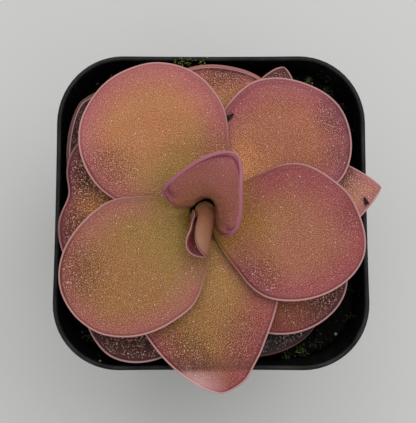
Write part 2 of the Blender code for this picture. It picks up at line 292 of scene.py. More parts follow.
def put_in_scene(name, points, faces, material, values=None, places=None, rounded=True):
    """A mesh piece. values are numbers per point, and places two map coordinates per face corner.

    A piece without places is mapped as it shows from above.
    """
    mesh = bpy.data.meshes.new(name)
    mesh.from_pydata(points.tolist(), [], faces)
    mesh.polygons.foreach_set("use_smooth", [rounded] * len(mesh.polygons))
    for key, numbers in (values or {}).items():
        layer = mesh.attributes.new(key, "FLOAT", "POINT")
        layer.data.foreach_set("value", np.asarray(numbers, np.float32))
    if places is None:
        places = 0.5 + points[[k for face in faces for k in face], :2] / MAP_SPAN
    layer = mesh.uv_layers.new(name="OFBake")
    layer.uv.foreach_set("vector", np.asarray(places, np.float32).ravel())
    mesh.materials.append(material)
    mesh.update()
    return put(name, mesh)


def belongs(piece, node=None):
    """The piece rides with the plant. It may stand for a solid, which is then hidden."""
    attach(piece, "root")
    if node:
        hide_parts(node)
    return piece


def belts(start, rings, around):
    """Faces between neighbouring rings of points, the first of which begins at point start."""
    a = np.arange(around)
    b = (a + 1) % around
    faces = []
    for low in range(start, start + (rings - 1) * around, around):
        high = low + around
        faces += np.stack([low + a, low + b, high + b, high + a], 1).tolist()
    return faces


def ring_faces(rings, around):
    """Faces of a closed body of rings in order, with one point at each end."""
    last = 1 + (rings - 1) * around
    pairs = [(k, (k + 1) % around) for k in range(around)]
    first_end = [(0, 1 + j, 1 + i) for i, j in pairs]
    return first_end + belts(1, rings, around) + [(last + i, last + j, last + around) for i, j in pairs]


def blade_faces(rings, around):
    """Faces of a closed body of rings whose end rings are bridged by rungs across the midrib."""
    faces = belts(0, rings, around)
    for first, step in ((0, 1), ((rings - 1) * around, -1)):
        for i in range(around // 2):
            near, far = [i, i + 1], [around - i - 1, (around - i) % around]
            rung = [first + k for k in dict.fromkeys(near + far)]
            faces.append(rung[::-step])
    return faces


def joined(bodies):
    """Points and faces of several bodies as those of one."""
    points, faces, count = [], [], 0
    for these, those in bodies:
        points.append(these)
        faces += [[count + k for k in face] for face in those]
        count += len(these)
    return np.vstack(points), faces


def surface_of(pieces):
    """The surface that pieces make together, for rays to meet."""
    meshes = [piece.data for piece in pieces]
    points, faces = joined(
        ([v.co[:] for v in mesh.vertices], [face.vertices[:] for face in mesh.polygons]) for mesh in meshes
    )
    return BVHTree.FromPolygons(points.tolist(), faces)


def round_map(faces, rings, around):
    """Map places for each face corner of a body of closed rings: once round it, and from end to end."""
    places = []
    for face in faces:
        turns = [((k - 1) % around) / around for k in face]
        ends = [k == 0 or k > rings * around for k in face]
        inner = [turn for turn, end in zip(turns, ends) if not end]
        wraps = max(inner) - min(inner) > 0.5
        turns = [turn + 1 if wraps and turn < 0.5 else turn for turn in turns]
        for k, turn, end in zip(face, turns, ends):
            level = 0 if k == 0 else (k - 1) // around + 1
            places.append(((inner[0] if end else turn) * 0.96, level / (rings + 1)))
    return places


def outwards(points, faces):
    """The faces, turned round if the closed body they make has its inside out."""
    thirds = np.array([(face[0], face[i], face[i + 1]) for face in faces for i in range(1, len(face) - 1)])
    a, b, c = (points[thirds[:, k]] for k in range(3))
    volume = (a * np.cross(b, c)).sum()
    return faces if volume > 0 else [tuple(reversed(face)) for face in faces]


class Blade:
    """One leaf's upper face. A place on it is given flattened: how far along the midrib and aside of it."""

    def __init__(self, order):
        self.order, self.leaf = order, LEAVES[order]
        self.thick = THIN_BLADE if order < THIN_LEAVES else BLADE
        self.azimuth = YOUNG_LEAF_AZIMUTH + (order - 1) * GOLDEN_ANGLE + self.leaf.nudge
        self.seat, self.base = FIRST_SEAT - SEAT_STEP * (order - 1), BASE_HALF_WIDTH
        self.reach = YOUNG_LEAF_REACH if order == 1 else BASE_REACH
        self.hub, self.aside = 0.0, 0.0
        if order == 0:
            self.seat, self.reach, self.base = CROWN_TOP + GAP, ROLLED_LEAF_REACH, ROLLED_BASE_HALF_WIDTH
            self.hub, self.aside = ROLL_RADIUS, ROLLED_ASIDE
        rise, fall = math.radians(self.leaf.rise), math.radians(self.leaf.fall)
        steps = np.arange(RISE_STEPS)
        slope = rise + (fall - rise) * ((steps + 0.5) / RISE_STEPS) ** self.leaf.bend
        step = self.leaf.length / RISE_STEPS
        self.out = np.concatenate([[0], np.cumsum(step * np.cos(slope))])
        self.up = np.concatenate([[0], np.cumsum(step * np.sin(slope))])
        self.slope = rise + (fall - rise) * (np.arange(RISE_STEPS + 1) / RISE_STEPS) ** self.leaf.bend
        self.waves = np.random.default_rng(SEED + order).uniform(0, 2 * np.pi, (len(RIPPLE_LENGTHS), 2))
        self.outline = self.margin(OUTLINE_STEPS)

    def beyond(self, share):
        """How far out between its broadest part and its tip the outline is at a share of the length."""
        broadest = self.leaf.broadest
        return np.clip((share - broadest) / (1 - broadest), 0, 1) ** (1 / self.leaf.tip)

    def half(self, share):
        """The blade's half width at a share of its length."""
        leaf = self.leaf
        half = leaf.width / 2
        inner = np.sin(np.pi / 2 * np.clip(share / leaf.broadest, 0, 1)) ** leaf.waist
        return np.where(
            share <= leaf.broadest,
            self.base + (half - self.base) * inner,
            half * np.sqrt(1 - self.beyond(share) ** 2) ** leaf.tip,
        )

    def margin(self, count):
        """Evenly spaced places round the blade's flattened edge."""
        leaf = self.leaf
        row = np.linspace(0, 1, CURVE_STEPS)
        turn = np.pi / 2 * row
        share = np.concatenate([
            leaf.broadest * row,
            leaf.broadest + (1 - leaf.broadest) * np.sin(turn) ** leaf.tip,
        ])
        aside = np.concatenate([
            self.base + (leaf.width / 2 - self.base) * np.sin(turn) ** leaf.waist,
            leaf.width / 2 * np.clip(np.cos(turn), 0, 1) ** leaf.tip,
        ])
        side = np.stack([share * leaf.length, aside], 1)
        loop = np.vstack([[[0, 0]], side, side[::-1] * [1, -1], [[0, 0]]])
        run = np.concatenate([[0], np.cumsum(np.linalg.norm(np.diff(loop, axis=0), axis=1))])
        at = np.linspace(0, run[-1], count, endpoint=False)
        return np.stack([np.interp(at, run, loop[:, 0]), np.interp(at, run, loop[:, 1])], 1)

    def skin(self, places):
        """Where flattened places of the upper face are in space."""
        leaf = self.leaf
        share = np.clip(places[:, 0] / leaf.length, 0, 1)
        width = np.maximum(self.half(share), 1e-6)
        across = np.clip(places[:, 1] / width, -1, 1)
        for order, middle, reach, back in DENTS:
            if order == self.order:
                share = share * (1 - back * share**3 * np.exp(-(((across - middle) / reach) ** 2)))
        for order, side, middle, reach, more in BULGES:
            if order == self.order:
                width = width + more * np.exp(-(((share - middle) / reach) ** 2)) * (across * side > 0)
        outer = self.beyond(share)
        near = np.where(
            share > leaf.broadest, np.hypot(outer, np.sqrt(1 - outer**2) * across), np.abs(across)
        )
        at = share * RISE_STEPS
        steps = np.arange(RISE_STEPS + 1)
        out, up, slope = (np.interp(at, steps, numbers) for numbers in (self.out, self.up, self.slope))

        # Each side turns up along an arc, and the margin a little more
        cup = np.radians(leaf.cup_base + (leaf.cup_tip - leaf.cup_base) * share)
        for order, side, more, start, full in CUPS:
            if order == self.order:
                cup = cup * (1 + more * smooth(start, full, share) * (across * side > 0))
        cup = np.copysign(np.minimum(np.maximum(np.abs(cup), 1e-4), width / TIGHTEST_ROLL), cup)
        side = width / cup * np.sin(cup * across)
        lift = width / cup * (1 - np.cos(cup * across))
        inset = (1 - near) * leaf.width / 2
        lift += MARGIN_LIFT * np.exp(-((inset / MARGIN_BAND) ** 2)) * np.minimum(1, share / MARGIN_STARTS)
        lift += self.ripple(places) * smooth(*RIPPLE_STARTS, share)
        turn = math.radians(leaf.turn)
        side, lift = (
            side * math.cos(turn) - (lift - self.hub) * math.sin(turn) + self.aside,
            side * math.sin(turn) + (lift - self.hub) * math.cos(turn) + self.hub,
        )

        # The foot wraps round the crown, and the whole leaf stands at its place round the axis
        x = out - lift * np.sin(slope)
        z = up + lift * np.cos(slope)
        wrap = np.maximum(0, 1 - share / WRAP_ENDS) if self.order else 0.0
        around = np.minimum(np.abs(side), WRAP_LIMIT * self.reach)
        x += self.reach - wrap * (self.reach - np.sqrt(self.reach**2 - around**2))
        swing = np.radians(self.azimuth + leaf.sweep * share**2)
        return np.stack([
            x * np.cos(swing) - side * np.sin(swing) + PLANT_AXIS[0],
            x * np.sin(swing) + side * np.cos(swing) + PLANT_AXIS[1],
            z + self.seat,
        ], 1)

    def ripple(self, places):
        """The slight unevenness of a grown blade."""
        lift = np.zeros(len(places))
        for length, (turn, phase) in zip(RIPPLE_LENGTHS, self.waves):
            run = places[:, 0] * math.cos(turn) + places[:, 1] * math.sin(turn)
            lift += np.sin(2 * np.pi * run / length + phase)
        return RIPPLE * lift

    def normals(self, places):
        """The ways that the upper face looks."""
        nudges = np.array([[NUDGE, 0], [0, NUDGE]])
        return unit(np.cross(*(self.skin(places + nudge) - self.skin(places - nudge) for nudge in nudges)))

    def inset(self, places):
        """How far each place is from the blade's edge, flattened."""
        parts = [places[start : start + AT_ONCE] for start in range(0, len(places), AT_ONCE)]
        return np.concatenate([
            np.linalg.norm(part[:, None] - self.outline[None], axis=2).min(1) for part in parts
        ])


def evened(lengths, passes, bend):
    """Lengths round a loop, with those drawn in that stand out from their neighbours by more than bend."""
    for _ in range(passes):
        lengths = np.minimum(lengths, (np.roll(lengths, 1) + np.roll(lengths, -1)) / 2 + bend)
    return lengths


def inwards(edge):
    """The direction into the blade at each place of its flattened edge, and the room there is."""
    tangent = unit(np.roll(edge, -1, 0) - np.roll(edge, 1, 0))
    normal = np.stack([tangent[:, 1], -tangent[:, 0]], 1)
    gaps = edge[None] - edge[:, None]
    towards = (gaps * normal[:, None]).sum(2)
    length = (gaps**2).sum(2)
    room = np.where(towards > 1e-9, length / np.maximum(2 * towards, 1e-9), np.inf).min(1)
    return normal, evened(room, ROOM_PASSES, ROOM_BEND)


def marks(blade, look, places, inset):
    """Numbers from 0 to 1 that the leaf's material reads at each flattened place."""
    leaf = blade.leaf
    share = places[:, 0] / leaf.length
    side = places[:, 1] / np.maximum(blade.half(np.clip(share, 0, 1)), 1e-4)
    reach = look.reach * (1 + look.lean * np.clip(side, -1, 1))
    # Dusky patches: the leaf's dark pigment with painted shade
    dusky = np.zeros(len(places))
    for along, aside, radius, strength in look.dusky:
        centre = np.array([along * leaf.length, aside * leaf.width / 2])
        gap = np.linalg.norm(places - centre, axis=1)
        dusky = np.maximum(dusky, strength * (1 - smooth(0.15, 1.0, gap / radius)))
    return {
        "pink": look.pink * (1 - smooth(0, 1, inset / reach)) * smooth(0.04, 0.34, share),
        "heart": 1 - smooth(0.08, 0.62, share),
        "dusky": dusky,
        "groove": np.exp(-(((inset - GROOVE_INSET) / GROOVE_WIDTH) ** 2)) * smooth(0.1, 0.3, share),
    }


def make_blade(order, material):
    """A leaf as one closed body: its upper face, a margin that curls up and is rounded, and its underside."""
    blade, look = Blade(order), LOOKS[order]
    leaf, radius, half = blade.leaf, look.curl_radius, blade.thick / 2
    edge = blade.margin(AROUND)
    inward, room = inwards(edge)
    curl = np.radians(FOOT_CURL + (look.curl - FOOT_CURL) * smooth(*CURL_FADES, edge[:, 0] / leaf.length))
    thin = half * MARGIN_THINS
    quarter = np.pi / 2
    widest = np.where(
        curl <= quarter, radius * np.sin(curl) + thin, radius + half + (thin - half) * quarter / curl
    )
    start = np.minimum(widest, EDGE_ROOM * room)
    fit = start / widest

    # Flattened rings of the upper face, from the middle out to where the margin starts to curl
    offsets = [start]
    for gap, share in zip(EDGE_INSETS, EDGE_SHARES):
        offsets.append(evened(np.minimum(start + gap, share * room), OFFSET_PASSES, OFFSET_BEND))
    near_edge = [edge + inward * offset[:, None] for offset in offsets]
    outermost, innermost = near_edge[0], near_edge[-1]
    low, high = innermost[:, 0].min(), innermost[:, 0].max()
    run = np.interp(innermost[:, 0], [low, high], [low + SPINE_INSET, high - SPINE_INSET])
    spine = np.stack([run, np.zeros(AROUND)], 1)
    top = [spine + (innermost - spine) * (k / TOP_RINGS) for k in (INNERMOST, *range(1, TOP_RINGS))]
    under = [
        spine + (innermost - spine) * (k / UNDER_RINGS) for k in (*range(UNDER_RINGS - 1, 0, -1), INNERMOST)
    ]

    base, normal = blade.skin(outermost), blade.normals(outermost)
    outer = blade.skin(outermost - inward * NUDGE) - blade.skin(outermost + inward * NUDGE)
    outer = unit(outer - normal * (outer * normal).sum(1, keepdims=True))

    # Each ring is points, flattened places, and how far round it is to the underside and round the margin
    rings = [(blade.skin(places), places, 0.0, 0.0) for places in (*top, *near_edge[::-1])]

    def round_margin(away, raised, under_share, edge_share, run):
        points = base + outer * (away * fit)[:, None] + normal * raised[:, None]
        rings.append((points, outermost - inward * run[:, None], under_share, edge_share))

    def curled(k, face):
        """How far out and up a face of the curling margin is: the upper one is 1 and the lower one -1."""
        angle = curl * k / CURL_STEPS
        thick = face * (half + (thin - half) * k / CURL_STEPS)
        away = radius * np.sin(angle) - thick * np.sin(angle)
        return away, -half + radius * (1 - np.cos(angle)) + thick * np.cos(angle)

    for k in range(1, CURL_STEPS + 1):
        share = k / CURL_STEPS
        round_margin(*curled(k, 1), 0.0, 0.5 * share, start * k / (CURL_STEPS + 2))
    for k in range(1, CAP_STEPS + 1):
        angle = np.pi * k / (CAP_STEPS + 1)
        ahead, up = thin * np.sin(angle), thin * np.cos(angle)
        away = radius * np.sin(curl) + ahead * np.cos(curl) - up * np.sin(curl)
        raised = -half + radius * (1 - np.cos(curl)) + ahead * np.sin(curl) + up * np.cos(curl)
        round_margin(away, raised, 0.0, 0.5, start * (CURL_STEPS + 2 * k / CAP_STEPS) / (CURL_STEPS + 2))
    last_top = len(rings) * AROUND
    for k in range(CURL_STEPS, -1, -1):
        share = k / CURL_STEPS
        round_margin(*curled(k, -1), 1 - share, 0.5 + 0.5 * (1 - share), start * k / CURL_STEPS)
    for places in (*near_edge[2::2], *under):
        rings.append((blade.skin(places) - blade.normals(places) * blade.thick, places, 1.0, 0.0))

    points, flat = (np.vstack([ring[k] for ring in rings]) for k in (0, 1))
    values = marks(blade, look, flat, blade.inset(flat))
    values["under"], values["edge"] = (np.repeat([ring[k] for ring in rings], AROUND) for k in (2, 3))
    values["bead"] = np.zeros(len(points))
    faces = outwards(points, blade_faces(len(rings), AROUND))
    places = [on_map(leaf, flat[k], max(face) >= last_top) for face in faces for k in face]
    piece = put_in_scene(leaf.name.replace("leaf", "blade"), points, faces, material, values, places)
    return blade, piece


def on_map(leaf, place, underside):
    """Where a flattened place is on the leaf's map, which has the upper face at the left of the other."""
    across = 0.25 + 0.46 * place[1] / (leaf.width + 0.003)
    return (across + (0.5 if underside else 0.0), 0.03 + 0.94 * (place[0] + 0.001) / (leaf.length + 0.003))


def make_glands(order, blade, material, shade):
    """Beads on a jittered triangular grid over the blade, wherever a slanting look from above meets them."""
    leaf, look = blade.leaf, LOOKS[order]
    rng = np.random.default_rng(SEED * 100 + order)
    step = look.spacing * math.sqrt(3) / 2
    rows = int(leaf.width / step) + 2
    columns = int(leaf.length / look.spacing) + 2
    row, column = np.meshgrid(np.arange(rows), np.arange(columns), indexing="ij")
    along = (column + 0.5 * (row % 2)) * look.spacing
    aside = (row - rows / 2) * step
    places = np.stack([along.ravel(), aside.ravel()], 1)
    places = places + rng.uniform(-GLAND_JITTER, GLAND_JITTER, places.shape) * look.spacing
    share = places[:, 0] / leaf.length
    inside = (share > GLAND_FROM_SHARE) & (share < 1)
    inside &= np.abs(places[:, 1]) < blade.half(np.clip(share, 0, 1))
    places = places[inside]
    inset = blade.inset(places)
    clear = inset > look.curl_radius + GLAND_INSET
    places, inset = places[clear], inset[clear]
    points, normals = blade.skin(places), blade.normals(places)
    seen = np.array([open_to_sky(p, n, shade) for p, n in zip(points, normals)])
    places, inset, points, normals = (each[seen] for each in (places, inset, points, normals))

    count = len(places)
    bead = np.clip(rng.normal(0.45, 0.2, count), 0.05, 1)
    sparkling = rng.random(count) < SPARKLING
    bead[sparkling] = 1.0
    radius = GLAND_RADIUS * look.spacing * rng.uniform(*GLAND_SIZES, count) * (1 + 0.1 * sparkling)
    size = radius[:, None]
    helper = np.where(np.abs(normals[:, 2:]) > 0.8, [[1.0, 0, 0]], [[0, 0, 1.0]])
    first = unit(np.cross(helper, normals))
    second = np.cross(normals, first)
    spin = rng.uniform(0, np.pi / 2, count)[:, None]
    first, second = (
        first * np.cos(spin) + second * np.sin(spin),
        second * np.cos(spin) - first * np.sin(spin),
    )
    corners = np.stack(
        [points + normals * size * z + first * size * x + second * size * y for x, y, z in GLAND_CORNERS], 1
    ).reshape(-1, 3)
    flat = np.stack([places + np.array([x, y]) * size for x, y, _ in GLAND_CORNERS], 1).reshape(-1, 2)
    waist = [(k, (k + 1) % 4) for k in range(4)]
    pattern = np.array([(i, j, 4) for i, j in waist] + [(j, i, 5) for i, j in waist])
    faces = (pattern[None] + 6 * np.arange(count)[:, None, None]).reshape(-1, 3)
    values = marks(blade, look, places, inset)
    values.update(under=np.zeros(count), edge=np.zeros(count), bead=bead)
    values = {key: np.repeat(numbers, len(GLAND_CORNERS)) for key, numbers in values.items()}
    on = np.stack(on_map(leaf, flat.T, False), 1)[faces.ravel()]
    name = leaf.name.replace("leaf", "glands")
    return put_in_scene(name, corners, faces.tolist(), material, values, on)


def sky_directions():
    """Looks from above: one straight down and some slanting ones round it."""
    tilt = math.radians(SKY_TILT)
    turns = [2 * math.pi * k / SKY_TURNS + SKY_FIRST for k in range(SKY_TURNS)]
    flat, up = math.sin(tilt), math.cos(tilt)
    return [UP, *(Vector((flat * math.cos(turn), flat * math.sin(turn), up)) for turn in turns)]


SKY = sky_directions()


def open_to_sky(point, normal, shade):
    """Whether a look from above, straight or slanting, reaches this point of a leaf."""
    start = Vector(point) + Vector(normal) * START_OFF
    return any(
        way.dot(Vector(normal)) > SKY_GRAZES and shade.ray_cast(start, way)[0] is None for way in SKY
    )


class Nodes:
    """Short names for building a material's nodes."""

    def __init__(self, name):
        self.material = bpy.data.materials.new(name)
        self.material.use_nodes = True
        self.tree = self.material.node_tree
        self.tree.nodes.clear()
        output = self.new("OutputMaterial")
        self.shader = self.new("BsdfPrincipled")
        self.plug(output.inputs["Surface"], self.shader.outputs[0])
        self.place = self.new("TexCoord").outputs["Object"]

    def new(self, kind, **inputs):
        node = self.tree.nodes.new("ShaderNode" + kind)
        for key, value in inputs.items():
            self.plug(node.inputs[key.replace("_", " ")], value)
        return node

    def plug(self, socket, value):
        """Joins a socket to another, or gives it a number, a direction or a colour."""
        if isinstance(value, bpy.types.NodeSocket):
            self.tree.links.new(value, socket)
        else:
            socket.default_value = (*value, 1.0) if socket.type == "RGBA" else value

    def value(self, name):
        node = self.new("Attribute")
        node.attribute_name = name
        return node.outputs["Fac"]

    def math(self, operation, a, b, clamp=False):
        node = self.new("Math")
        node.operation = operation
        node.use_clamp = clamp
        self.plug(node.inputs[0], a)
        self.plug(node.inputs[1], b)
        return node.outputs[0]

    def times(self, a, b, clamp=False):
        return self.math("MULTIPLY", a, b, clamp)

    def plus(self, a, b, clamp=False):
        return self.math("ADD", a, b, clamp)

    def minus(self, a, b):
        return self.math("SUBTRACT", a, b)

    def axes(self):
        return self.new("SeparateXYZ", Vector=self.place).outputs

    def mix(self, share, a, b, blend="MIX"):
        node = self.new("Mix")
        node.data_type = "RGBA"
        node.blend_type = blend
        for socket, value in ((0, share), (6, a), (7, b)):
            self.plug(node.inputs[socket], value)
        return node.outputs[2]

    def ramp(self, value, *stops):
        """A soft run between (place, colour or number) stops."""
        node = self.new("ValToRGB", Fac=value)
        elements = node.color_ramp.elements
        while len(elements) < len(stops):
            elements.new(0.5)
        for element, (place, colour) in zip(elements, stops):
            element.position = place
            element.color = (*(colour if isinstance(colour, tuple) else (colour,) * 3), 1.0)
        return node.outputs[0]

    def noise(self, size, detail=2.0, roughness=0.5, place=None):
        """Even noise whose features are about size metres across."""
        place = place or self.place
        node = self.new("TexNoise", Vector=place, Scale=1 / size, Detail=detail, Roughness=roughness)
        return node.outputs[0]

    def cells(self, size, feature="F1"):
        """How far it is to the middle or the wall of cells about size metres across."""
        node = self.new("TexVoronoi", Vector=self.place, Scale=1 / size)
        node.feature = feature
        return node.outputs["Distance"]

    def bump(self, height, distance, strength=1.0, below=None):
        node = self.new("Bump", Height=height, Distance=distance, Strength=strength)
        if below is not None:
            self.plug(node.inputs["Normal"], below)
        return node.outputs[0]

    def finish(self, **inputs):
        for key, value in inputs.items():
            self.plug(self.shader.inputs[key.replace("_", " ")], value)
        return self.material


# The skin: its grain in metres and in strength, its sheen, and how far the margin fades by the crown
GRAIN = 0.00030
GROUND_GRAIN = 0.75
LEAF_SHEEN = 0.35
RIM_FADES = 0.85

# What the colour is multiplied by between the glands, as painted shade, and on them, as painted light
GRAIN_SHADOW = (0.44, 0.20, 0.13)
BEAD_LIGHT = (1.60, 1.52, 1.47)

# The leaf whose tip is painted as lit through, and the stretches to the front and across that place the
# painted light
FRONT_LEAF = 5
TIP_SCALE = 0.04
TIP_ACROSS = 0.02


def leaf_material(order):
    """Flesh that turns from the heart's colour by the crown to a rosy margin, grained with glands."""
    look = LOOKS[order]
    # Painted light: each leaf's colours are made brighter or darker by how much light it gets
    bright = look.light
    n = Nodes(LEAVES[order].name.replace("leaf", "flesh"))
    drift = n.times(n.minus(n.noise(0.0045, 3.0), 0.5), 0.55)
    heart = n.ramp(n.plus(n.value("heart"), drift), (0.05, 0.0), (0.95, 1.0))
    pink = n.ramp(n.plus(n.value("pink"), drift), (0.08, 0.0), (0.92, 1.0))
    colour = n.mix(heart, warm(look.flesh, bright), warm(look.heart, bright))
    colour = n.mix(pink, colour, warm(look.rose, bright))
    # Dusky patches: the leaf's dark red pigment with painted shade
    stained_and_shaded = n.mix(n.value("dusky"), colour, warm(look.stain, bright))

    # Grain: the skin's own mottling, with painted shade between its glands, darker and redder,
    # more so in dusky stretches
    specks = n.cells(GRAIN)
    worms = n.noise(GRAIN * 1.2, 3.0, 0.65)
    deep = n.ramp(specks, (0.15, 1.0), (0.60, 0.0))
    coarse = n.times(n.plus(n.value("dusky"), GROUND_GRAIN * look.grain), 1.0, clamp=True)
    shadow = n.mix(1.0, stained_and_shaded, GRAIN_SHADOW, "MULTIPLY")
    grained = n.mix(n.times(deep, 0.75), shadow, stained_and_shaded)
    grained = n.mix(n.times(worms, 0.35), grained, shadow)
    ground = n.mix(coarse, stained_and_shaded, grained)

    # Beads are painted lighter than the flesh they stand on, as painted light. Some are painted as bright
    # glints, more so in dusky stretches; the others there take the patches' dark colour.
    bead = n.value("bead")
    gleams = n.ramp(bead, (0.42, 0.0), (0.62, 1.0))
    dull = n.times(n.value("dusky"), n.minus(1.0, gleams))
    lit = n.mix(1.0, colour, BEAD_LIGHT, "MULTIPLY")
    glint = n.ramp(bead, (0.30, 0.0), (0.9, 0.20), (1.0, 0.70))
    glint = n.plus(glint, n.times(n.times(n.value("dusky"), gleams), 0.30), clamp=True)
    lit = n.mix(dull, n.mix(glint, lit, tone(*BEAD_GLINT, 1.1)), stained_and_shaded)
    colour = n.mix(n.ramp(bead, (0.0, 0.0), (0.02, 1.0)), ground, lit)

    # Painted shade: a dark line in the groove inside the margin
    colour = n.mix(n.times(n.value("groove"), look.groove), colour, warm(MARGIN_GROOVE, bright))

    # Painted light: the tip that hangs out over the pot's front is painted pale, as lit through by the floor,
    # with a band of painted shade along the pot's rim
    if order == FRONT_LEAF:
        axes = n.axes()
        beyond = n.ramp(n.times(axes[1], -1 / TIP_SCALE), (0.858, 0.0), (0.884, 0.50), (0.94, 0.85))
        aside = n.ramp(n.plus(n.times(axes[0], 1 / TIP_ACROSS), 0.5), (0.35, 1.0), (0.70, 0.0))
        colour = n.mix(n.times(beyond, aside), colour, tone(*TIP_LIT, bright))
        brink = n.ramp(n.times(axes[1], -1 / TIP_SCALE), (0.77, 0.0), (0.856, 0.50), (0.876, 0.0))
        colour = n.mix(brink, colour, tone(*TIP_BRINK, bright))

    # The margin and the underside: painted shade on the curl's inner face, a darker rose on its outer face as
    # painted shade, the crest in its own paler tone with a painted highlight, and the underside in its own
    # colour
    band = n.ramp(n.value("edge"), (0.05, 0.0), (0.25, 1.0), (0.45, 1.0), (0.49, 0.0))
    colour = n.mix(n.times(band, 0.6 * look.groove), colour, warm(MARGIN_GROOVE, bright))
    rim = n.ramp(n.value("edge"), (0.43, 0.0), (0.48, 0.75), (0.505, 0.75), (0.54, 0.0))
    if order >= THIN_LEAVES:
        rim = n.times(rim, n.minus(1.0, n.times(n.value("heart"), RIM_FADES)))
    behind = n.ramp(n.value("edge"), (0.50, 0.0), (0.60, 0.85), (0.9, 0.85), (1.0, 0.4))
    colour = n.mix(behind, colour, warm(look.rose, 0.8 * bright))
    # The margin darkens in dusky patches too, pigment with painted shade
    dulled = n.times(n.value("dusky"), look.dulled)
    margin = n.mix(dulled, warm(look.rim, bright), warm(look.stain, bright))
    colour = n.mix(rim, colour, margin)
    mottled = n.times(n.noise(0.003, 3.0), 0.5)
    below = n.mix(mottled, warm(look.back, bright), warm(MARGIN_BACK, bright))
    colour = n.mix(n.ramp(n.value("under"), (0.3, 0.0), (1.0, 1.0)), colour, below)

    height = n.plus(n.times(deep, 0.6), worms)
    relief = n.bump(height, 0.00006, 0.55)
    relief = n.bump(n.noise(0.0016, 2.0), 0.00010, 0.4, relief)
    gloss = n.plus(0.36, n.times(n.noise(0.0009, 3.0), 0.22))
    return n.finish(Base_Color=colour, Roughness=gloss, Normal=relief, Specular_IOR_Level=LEAF_SHEEN)


# The pot, as in its solid, with a rolled lip
POT_HEIGHT = 0.064
LIP_HALF = 0.035
LIP_HEIGHT = 0.0042
MOUTH_HALF = 0.0338
WALL = 0.0009
FOOT_HALF = 0.0255
FLOOR = 0.0014
FLOOR_ROUND = 0.0004
FOOT_ROUND = 0.0008
SKIRT_ROUND = 0.0003
SKIRT_BEVEL = 0.00009
NECK_ROUND = 0.0002
CORNER_RADIUS = 0.0145
DRAIN_RADIUS = 0.0030
DRAIN_OFFSET = 0.0145
DRAIN_STEPS = 32
SHARP_FROM = 50
BOW = 0.00012
CREST_SCALE = 0.064
NARROWS = 0.011
BACK_BOWS = 0.00062
POT_STEPS = (14, 16)

# The growing medium, with the hole that the crown stands in
SOIL_TOP = 0.0562
SOIL_BOTTOM = 0.0018
HOLE_RADIUS = 0.0031
HOLE_DEPTH = 0.019
SOIL_RINGS = 36
RINGS_CROWD = 0.62
SOIL_CLEAR = 0.0002
SOIL_STEPS = (40, 60)
BANK = 0.0016
SOIL_INSET = 0.0006
HOLE_ROUND = 0.0004
LEAVES_FROM = SOIL_TOP - 0.003
GROUND_UNDER = 0.062

# Heights down the growing medium's side, and how far it is drawn in there
SOIL_SIDE = (
    (SOIL_TOP + 0.0006, 0.0), (SOIL_TOP - 0.0012, 0.0), (0.035, 0.0), (0.0035, 0.0), (SOIL_BOTTOM, 0.0008),
)


def out_of_square(points):
    """Soft plastic gives: the mouth's back side bows outwards, and it is narrower than the front side."""
    points = np.array(points, float)
    rise = np.clip(points[:, 2] / POT_HEIGHT, 0, 1)
    towards_back = points[:, 1] / LIP_HALF
    points[:, 0] *= 1 - NARROWS * towards_back * rise
    points[:, 1] += BACK_BOWS * smooth(0.3, 1.0, towards_back) * rise
    return points


def pot_half(z):
    """The outer wall's half width at a height."""
    return FOOT_HALF + (MOUTH_HALF + WALL - FOOT_HALF) * z / POT_HEIGHT


def heading(degrees):
    """The level direction at an angle."""
    return np.array([math.cos(math.radians(degrees)), math.sin(math.radians(degrees))])


def soil_half(z):
    """The growing medium's half width at a height."""
    return pot_half(z) - WALL - GAP


def round_square(half, z, corner_steps, side_steps, bow=0.0):
    """A level loop round the pot's axis. Its corners share their centres with those of the outer wall."""
    radius = min(max(CORNER_RADIUS - (pot_half(z) - half), 0.35 * half), 0.98 * half)
    centres = (half - radius) * np.array([(1, 1), (-1, 1), (-1, -1), (1, -1), (1, 1)], float)
    points = []
    for k, (centre, following) in enumerate(zip(centres, centres[1:])):
        for step in range(corner_steps + 1):
            points.append(centre + radius * heading(90 * (k + step / corner_steps)))
        out = heading(90 * (k + 1))
        for step in range(1, side_steps):
            share = step / side_steps
            place = centre + (following - centre) * share + out * radius
            points.append(place - out * bow * 4 * share * (1 - share))
    return np.column_stack([points, np.full(len(points), z)])


